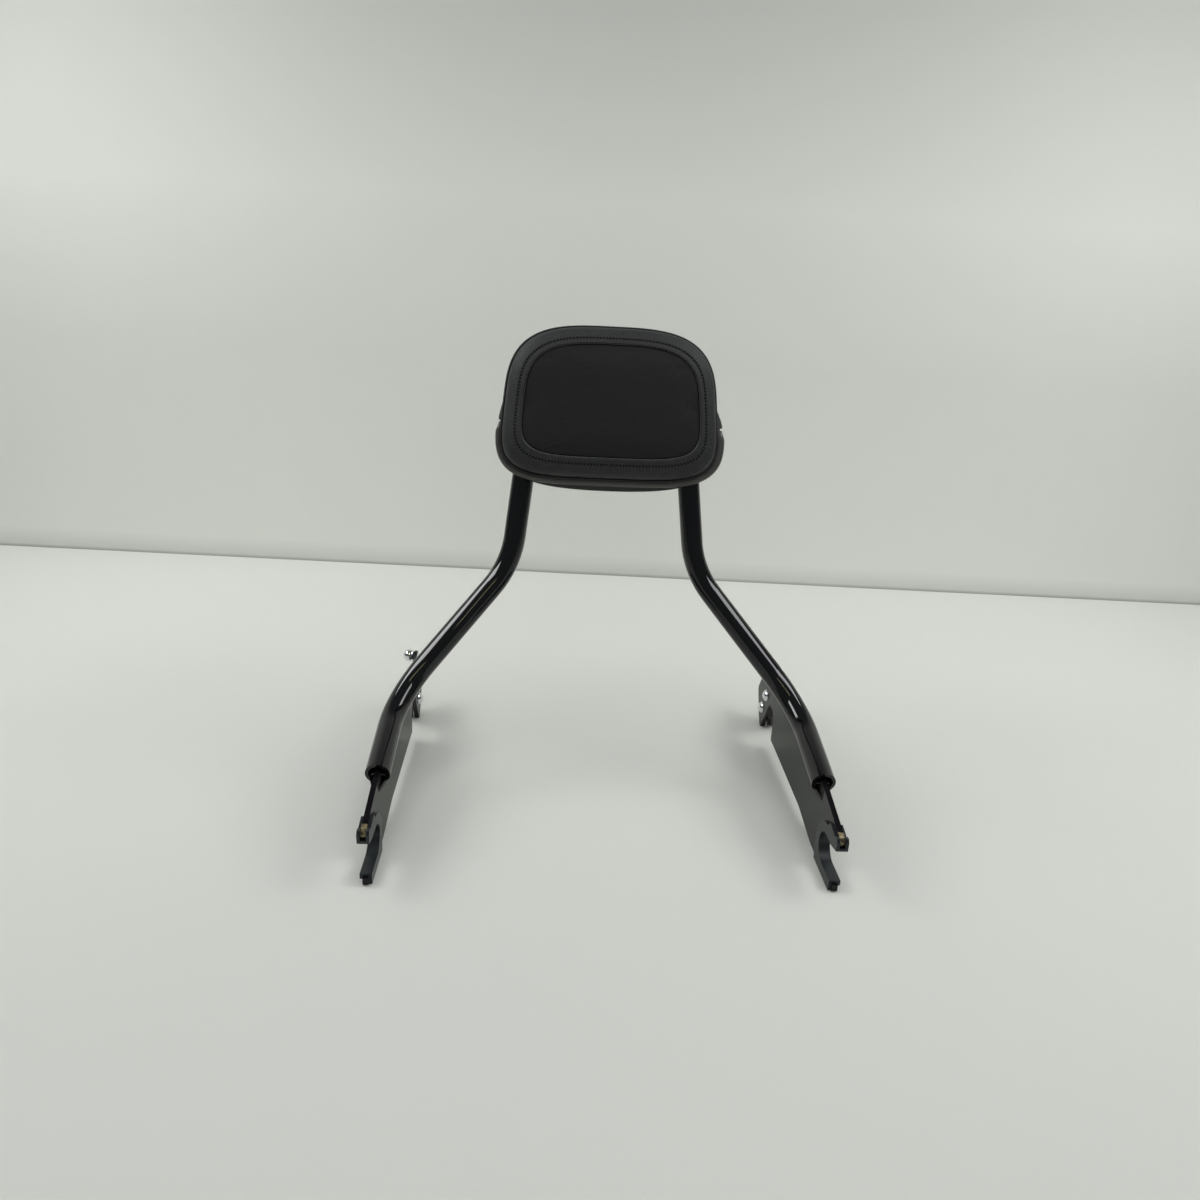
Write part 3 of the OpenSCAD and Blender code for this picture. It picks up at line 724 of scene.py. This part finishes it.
def outward(a):
    """Unit normal of the pad's outline at this angle."""
    step = 1e-3
    (ua, va), (ub, vb) = ring_uv(a + step, 0), ring_uv(a - step, 0)
    tu, tv = ua - ub, va - vb
    length = math.hypot(tu, tv)
    return tv / length, -tu / length


def back_cover():
    around = 900
    # rows that lie further in than this keep their inset where there is no roll
    free_row = -3.2
    # each row: share of the roll, share of the deeper part, extra reach, height, and then the last two
    # again where there is no roll
    rows = [
        (0, 0, -8.0, BACK_W, -8.0, BACK_W), (0, 1, -4.5, BACK_W, -5.2, 12.9), (0, 1, -1.6, 12.9, -3.0, 13.3),
        (0, 1, -0.35, 13.6, -1.2, 14.2), (0, 1, 0.0, 14.8, -0.35, 15.3), (0, 1, -0.45, 15.9, 0.0, 16.2),
        (0.8, 0.2, -0.9, 16.7, 0.0, 17.0), (1, 0, -0.75, 17.2, 0.0, 17.5), (1, 0, -0.1, 17.9, 0.0, 18.0),
        (1, 0, 0.0, 18.9, -0.05, 18.6), (1, 0, -0.25, 19.9, -0.25, 19.2), (1, 0, -0.95, 20.7, -0.6, 19.6),
        (0.55, 0, -0.2, 21.2, -1.0, 19.8), (0.22, 0, 0.0, 21.3, -1.6, 19.9),
        (0.05, 0, -0.1, 20.9, -2.4, 19.925), (0, 0, -1.2, 19.6, -3.4, 19.925),
        (0, 0, -6.3, 19.6, -6.3, 19.6), (0, 0, -6.5, 15.2, -6.5, 15.2),
    ]
    angles = even_angles(around)
    verts = []
    for roll_share, deep_share, d_roll, w_roll, d_flat, w_flat in rows:
        for a in angles:
            u, v = ring_uv(a, 0)
            nu, nv = outward(a)
            roll, deep, how_much = back_reach(u, v, nv)
            with_roll = roll_share * roll + deep_share * deep + d_roll
            without = (0 if d_flat < free_row else roll) + d_flat
            d = without + (with_roll - without) * how_much
            verts.append(pad_to_row(u + nu * d, v + nv * d, w_flat + (w_roll - w_flat) * how_much))
    faces = ring_faces(len(rows), around) + end_caps(len(rows), around)
    ob = mesh_object("pad_back_shell", verts, faces, cover_m)
    # the map's Y is the row's mean height
    height = [w_flat + (w_roll - w_flat) * 0.5 for _, _, _, w_roll, _, w_flat in rows]
    uv = []
    for poly in ob.data.polygons:
        for k in poly.vertices:
            uv += [0.0, height[k // around]]
    ob.data.uv_layers.new(name="seam").data.foreach_set("uv", uv)
    smooth(ob, SHELL_SMOOTH)
    return ob


back = back_cover()
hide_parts("pad_back_cover")


# Weld: joins plate and tube in each open tube end, under the paint
def mouth_weld(side):
    # mm in the row frame: the plate's place, the tube's mouth, the weld's top there and its slope
    plate_x, mouth_y, top_z, slope = 172.5, -88.8, 61.05, 0.25
    # how far it starts ahead of the mouth, its length, half its width in front and how much that grows
    ahead, length, front_half, widening = 1.5, 5.0, 2.05, 4.55
    # its top: drop in front and fall along it, roundness in front and what that gains, ridge in front
    drop, fall, rounding, more_round, ridge = 0.2, 1.4, 0.4, 4.2, 0.55
    # lumps: scale along and up, height in front and what that gains, push along the bike, and how far
    # apart the two sides lie in the noise
    lump_wide, lump_high, lump_up, lump_more, lump_along, apart = 2.1, 2.6, 0.35, 0.75, 0.3, 31
    # thickness in front, and what that gains
    thin, thicker = 1.0, 2.0
    rows, cols = 34, 30
    verts = []
    for i in range(rows):
        a = i / (rows - 1)
        y = mouth_y - ahead + length * a
        half = front_half + widening * ease(a * 1.15) ** 0.8
        for j in range(cols):
            c = 2 * j / (cols - 1) - 1
            z = top_z + slope * (y - mouth_y) - drop - fall * a - (rounding + more_round * a) * c * c
            lump = noise3.noise(Vector((side * apart + c * half / lump_wide, y / lump_wide, z / lump_high)))
            z += lump * (lump_up + lump_more * a) + ridge * (1 - abs(c)) * (1 - a)
            verts.append((side * plate_x + c * half, y + lump * lump_along, z))
    # the underside
    verts += [(x, y, z - thin - thicker * clamp((y - mouth_y + ahead) / length)) for x, y, z in verts]
    n = rows * cols
    faces = []
    for i in range(rows - 1):
        for j in range(cols - 1):
            quad = (i * cols + j, (i + 1) * cols + j, (i + 1) * cols + j + 1, i * cols + j + 1)
            faces.append(quad[::-1])
            faces.append(tuple(k + n for k in quad))
    rim = ([j for j in range(cols)] + [i * cols + cols - 1 for i in range(1, rows)]
           + [(rows - 1) * cols + j for j in range(cols - 2, -1, -1)]
           + [i * cols for i in range(rows - 2, 0, -1)])
    for k, a in enumerate(rim):
        b = rim[(k + 1) % len(rim)]
        faces.append((b, a, a + n, b + n))
    in_metres = [(x / 1000, y / 1000, z / 1000) for x, y, z in verts]
    return mesh_object("weld_left" if side < 0 else "weld_right", in_metres, faces, tube_m)


for side in (-1, 1):
    mouth_weld(side)


# Camera at the photograph's viewing angle
FRAME_PX, SENSOR, LENS = 1200, 36, 27
CAM = Vector((-0.0478, -0.68658, 0.4341))
yaw, tilt, roll = math.radians(3.573), math.radians(20.873), math.radians(-3.125)
fwd = Vector((math.sin(yaw) * math.cos(tilt), math.cos(yaw) * math.cos(tilt), -math.sin(tilt)))
level = Vector((math.cos(yaw), -math.sin(yaw), 0))
plumb = fwd.cross(level)
right = math.cos(roll) * level + math.sin(roll) * plumb
down = -math.sin(roll) * level + math.cos(roll) * plumb
cam_data = bpy.data.cameras.new("camera")
cam_data.sensor_width = SENSOR
cam_data.lens = LENS
cam_data.clip_start, cam_data.clip_end = 0.02, 60
cam = link_object("camera", cam_data)
rot = Matrix((right, -down, -fwd)).transposed()
cam.matrix_world = Matrix.Translation(CAM) @ rot.to_4x4()
bpy.context.scene.camera = cam


# Stage: a pale table and the wall behind it
def on_table(px, py):
    """Where a pixel's line of sight meets the table."""
    ray = fwd * (FRAME_PX * LENS / SENSOR) + right * (px - FRAME_PX / 2) + down * (py - FRAME_PX / 2)
    return CAM + ray * (-CAM.z / ray.z)


def stage_mat(name, colour, vary=0.012):
    m, nt, p = new_mat(name)
    cloud = noise(nt, coords(nt), 1.6, 2)
    nt.links.new(colour_mix(nt, cloud, scaled(colour, 1 - vary), scaled(colour, 1 + vary)),
                 p.inputs["Base Color"])
    p.inputs["Roughness"].default_value = 0.7
    p.inputs["Specular IOR Level"].default_value = 0.1
    return m, nt, p


def table_paper():
    """The table, painted paler towards the wall, as light."""
    m, nt, p = stage_mat("table_paper", (0.60, 0.615, 0.575))
    _, y, _ = separate(nt, coords(nt))
    # painted light: paler towards the wall
    paler = colour_mix(nt, ramp(nt, y, 0.1, 0.5, 0, 1), face_tone(p), (0.66, 0.675, 0.635))
    nt.links.new(paler, p.inputs["Base Color"])
    return m


def wall_paper():
    """The wall: painted paler low down as light, with a shadow where the table meets it, less light on it
    above the picture, and clear from behind so that it doesn't hide the part in other views."""
    m, nt, p = stage_mat("wall_paper", (0.598, 0.612, 0.574))
    _, _, z = separate(nt, coords(nt))
    near = math_node(nt, "MAXIMUM", ramp(nt, z, 0.001, 0.007, 0.6, 0), ramp(nt, z, 0.004, 0.030, 0.22, 0))
    dark = math_node(nt, "MAXIMUM", near, ramp(nt, z, 0.5, 1.15, 0, 1))
    # painted light: paler low down
    paper = colour_mix(nt, ramp(nt, z, 0.02, 0.3, 1, 0), face_tone(p), (0.70, 0.715, 0.67))
    nt.links.new(colour_mix(nt, dark, paper, (0.14, 0.14, 0.13)), p.inputs["Base Color"])
    geo = nt.nodes.new("ShaderNodeNewGeometry")
    clear = nt.nodes.new("ShaderNodeBsdfTransparent")
    mix = nt.nodes.new("ShaderNodeMixShader")
    nt.links.new(geo.outputs["Backfacing"], mix.inputs[0])
    nt.links.new(p.outputs[0], mix.inputs[1])
    nt.links.new(clear.outputs[0], mix.inputs[2])
    nt.links.new(mix.outputs[0], nt.nodes["Material Output"].inputs["Surface"])
    return m


def plane(name, corners, mat):
    me = bpy.data.meshes.new(name)
    me.from_pydata([tuple(c) for c in corners], [], [(0, 1, 2, 3)])
    me.update()
    ob = link_object(name, me)
    me.materials.append(mat)


# Pixels of the photograph where the wall meets the table at the picture's left and right edges
FOOT_LEFT, FOOT_RIGHT = (0, 545), (1200, 605)
left_end, right_end = on_table(*FOOT_LEFT), on_table(*FOOT_RIGHT)
along = (right_end - left_end).normalized()
away = Vector((0, 0, 1)).cross(along)
mid = (left_end + right_end) / 2
# in metres: half the width of both, how far the table comes forward and runs on, the wall's height
HALF_WIDE, TABLE_FORWARD, TABLE_BEYOND, WALL_HIGH = 4, 5, 3, 1.32
foot = [mid - along * HALF_WIDE, mid + along * HALF_WIDE]
plane("stage_floor", [foot[0] - away * TABLE_FORWARD, foot[1] - away * TABLE_FORWARD,
                      foot[1] + away * TABLE_BEYOND, foot[0] + away * TABLE_BEYOND], table_paper())
up = Vector((0, 0, WALL_HIGH))
plane("stage_wall", [foot[0], foot[1], foot[1] + up, foot[0] + up], wall_paper())


# Lamps
def lamp(name, where, target, size, power, colour=(1, 1, 1), diffuse=True, glossy=True):
    d = bpy.data.lights.new(name, "AREA")
    d.shape = "RECTANGLE"
    d.size, d.size_y = size
    d.energy = power
    d.color = colour
    o = link_object(name, d)
    o.location = where
    o.rotation_mode = "QUATERNION"
    o.rotation_quaternion = (Vector(target) - Vector(where)).to_track_quat("-Z", "Y")
    o.visible_diffuse = diffuse
    o.visible_glossy = glossy


# The room's two ceiling fittings and a narrow one in front, seen in the gloss only
COOL, YELLOWISH = (0.98, 0.99, 1.0), (1.0, 0.98, 0.55)
lamp("fitting_left", (-2.2, 0.35, 2.0), (-2.2, 0.35, 0), (1.4, 2.5), 110, COOL, diffuse=False)
lamp("fitting_right", (1.65, -0.35, 2.0), (1.65, -0.35, 0), (1.0, 1.8), 40, COOL, diffuse=False)
lamp("fitting_middle", (-0.1, -1.6, 2.0), (-0.1, -1.6, 0), (0.06, 1.8), 5.0, YELLOWISH, diffuse=False)
# Soft light from above, both sides and the front, which leaves no reflection
lamp("room_top", (-0.02, -0.22, 1.9), (-0.02, -0.22, 0), (1.4, 0.9), 10, glossy=False)
lamp("room_left", (-0.85, 0.15, 0.85), (0, 0.05, 0), (0.5, 0.5), 4.5, glossy=False)
lamp("room_right", (0.85, 0.0, 0.85), (0, 0.05, 0), (0.5, 0.5), 4.6, glossy=False)
lamp("front_fill", (0.2, -2.2, 1.6), (0, 0, 0.2), (2.4, 1.6), 17, glossy=False)

# Room round the stage: dim in the gloss, pale behind the part in other views
world = bpy.data.worlds.new("room")
bpy.context.scene.world = world
world.use_nodes = True
wn = world.node_tree
path = wn.nodes.new("ShaderNodeLightPath")


def room_shade(n, colour, strength):
    n.inputs["Color"].default_value = (*colour, 1)
    n.inputs["Strength"].default_value = strength
    return n.outputs[0]


def ray_mix(ray, other, this):
    """A shader that rays of one kind see, and another one for all other rays."""
    mix = wn.nodes.new("ShaderNodeMixShader")
    wn.links.new(path.outputs[ray], mix.inputs[0])
    wn.links.new(other, mix.inputs[1])
    wn.links.new(this, mix.inputs[2])
    return mix.outputs[0]


soft = room_shade(wn.nodes["Background"], (0.95, 0.98, 1.0), 0.2)
dim = room_shade(wn.nodes.new("ShaderNodeBackground"), (0.9, 0.97, 1.0), 0.12)
pale = room_shade(wn.nodes.new("ShaderNodeBackground"), (0.98, 1.0, 0.97), 0.62)
seen = ray_mix("Is Camera Ray", ray_mix("Is Glossy Ray", soft, dim), pale)
wn.links.new(seen, wn.nodes["World Output"].inputs["Surface"])

bpy.context.scene.view_settings.view_transform = "Standard"
